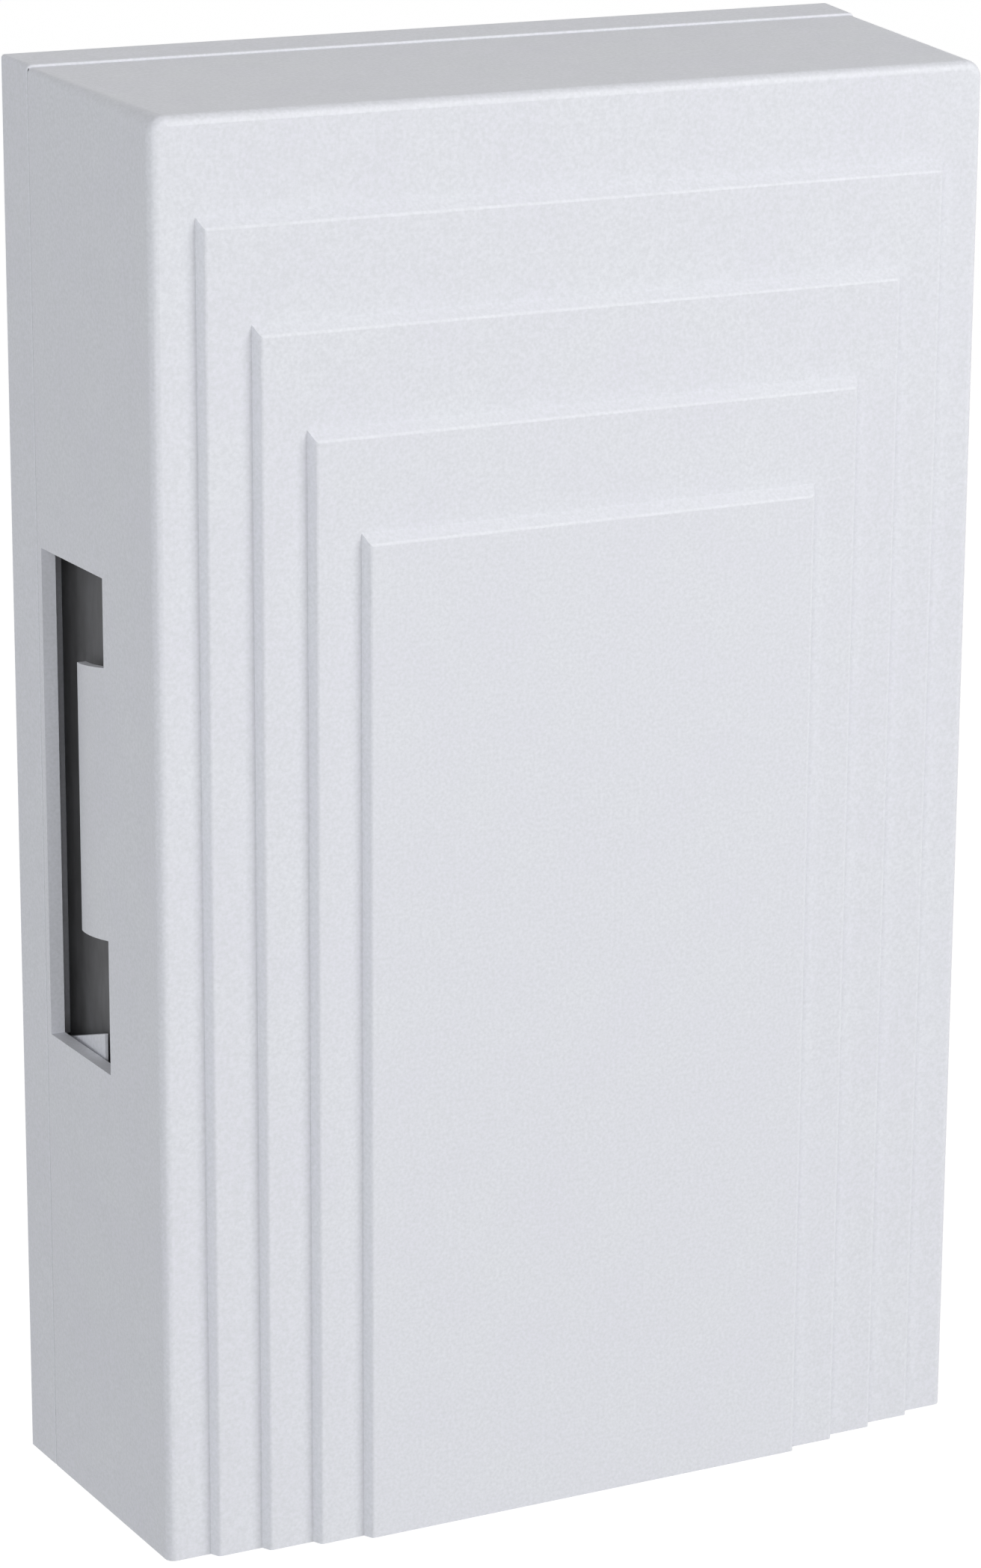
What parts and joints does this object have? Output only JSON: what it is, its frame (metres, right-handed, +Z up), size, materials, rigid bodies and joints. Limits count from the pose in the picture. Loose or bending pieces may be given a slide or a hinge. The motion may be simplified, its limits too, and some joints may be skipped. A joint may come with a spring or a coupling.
{
  "type": "doorbell chime box",
  "caption": "Wall chime box: drafted white cover with a stepped front, tabbed sound slots in its sides, and solenoid plungers that strike tone bars inside.",
  "frame": {"origin": "middle of the wall face: the back of the base tray, at half the height", "axes": "+X to the viewer's right, +Y into the wall, +Z up"},
  "size_m": [0.126, 0.05, 0.198],
  "materials": {
    "case_plastic": "fine matt texture, white ABS",
    "bar_steel": "rolled steel, satin",
    "saddle_rubber": "matt",
    "frame_steel": "zinc plated, satin",
    "bobbin_plastic": "moulded, matt",
    "coil_winding": "enamelled winding under clear tape",
    "core_steel": "ground",
    "striker_nylon": "moulded nylon",
    "spring_steel": "music wire",
    "stop_rubber": "matt",
    "block_plastic": "moulded, black",
    "terminal_brass": "bright",
    "screw_steel": "zinc plated",
    "lead_red": "sleeving",
    "lead_black": "sleeving",
    "lead_blue": "sleeving"
  },
  "bodies": {
    "base": {"base_tray": "case_plastic", "tone_bar_low": "bar_steel", "tone_bar_high": "bar_steel", "saddle_low_upper": "saddle_rubber", "saddle_low_lower": "saddle_rubber", "saddle_high_upper": "saddle_rubber", "saddle_high_lower": "saddle_rubber", "solenoid_frame": "frame_steel", "frame_screws": "screw_steel", "front_bobbin": "bobbin_plastic", "rear_bobbin": "bobbin_plastic", "front_coil": "coil_winding", "rear_coil": "coil_winding", "front_spring": "spring_steel", "rear_spring": "spring_steel", "stop_buffer": "stop_rubber", "terminal_block": "block_plastic", "terminal_plates": "terminal_brass", "terminal_screws": "terminal_brass", "block_screws": "screw_steel", "lead_front": "lead_red", "lead_front_common": "lead_black", "lead_rear": "lead_blue", "lead_rear_common": "lead_black"},
    "cover": {"cover": "case_plastic"},
    "front_plunger": {"front_core": "core_steel", "front_striker_low": "striker_nylon", "front_striker_high": "striker_nylon"},
    "rear_plunger": {"rear_core": "core_steel", "rear_striker_high": "striker_nylon", "rear_tail": "striker_nylon"}
  },
  "joints": [
    {"name": "cover_lift", "type": "slide", "parent": "base", "child": "cover", "axis": [0, -1, 0], "range_m": [0, 0.06]},
    {"name": "front_plunger_slide", "type": "slide", "parent": "base", "child": "front_plunger", "axis": [1, 0, 0], "range_m": [-0.0026, 0.009], "stiffness_N_per_m": 40, "deforming": ["front_spring"]},
    {"name": "rear_plunger_slide", "type": "slide", "parent": "base", "child": "rear_plunger", "axis": [1, 0, 0], "range_m": [0, 0.009], "stiffness_N_per_m": 40, "springref_m": -0.002, "deforming": ["rear_spring"]}
  ]
}
